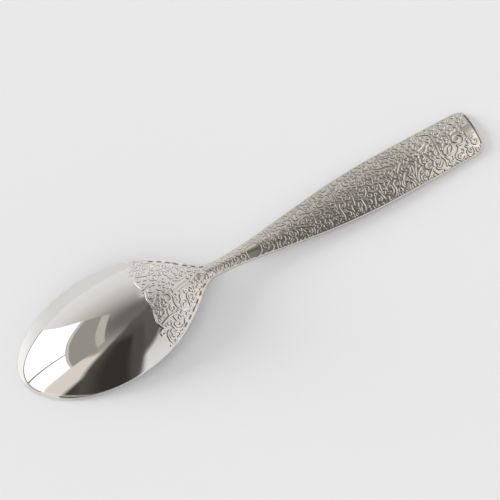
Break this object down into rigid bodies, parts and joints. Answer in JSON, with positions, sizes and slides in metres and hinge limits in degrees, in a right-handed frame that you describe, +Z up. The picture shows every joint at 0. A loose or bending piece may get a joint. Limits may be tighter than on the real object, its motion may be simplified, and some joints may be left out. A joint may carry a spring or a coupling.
{
  "type": "tablespoon",
  "caption": "Steel tablespoon lying face down, with a mirror polished bowl, a crested neck and a broad flat handle with a squared, rounded end.",
  "frame": {"origin": "on the table, under the middle of the spoon's length and width as it lies face down", "axes": "+X from the tip of the bowl towards the end of the handle, +Z up through the back of the bowl, the table at Z = 0"},
  "size_m": [0.19, 0.0408, 0.0164],
  "materials": {
    "polished_steel": "mirror polished stainless steel",
    "patterned_steel": "stainless steel with raised scrollwork on a darker sunk ground"
  },
  "bodies": {
    "root": {"bowl": "polished_steel", "neck": "patterned_steel", "handle": "patterned_steel"}
  },
  "joints": []
}
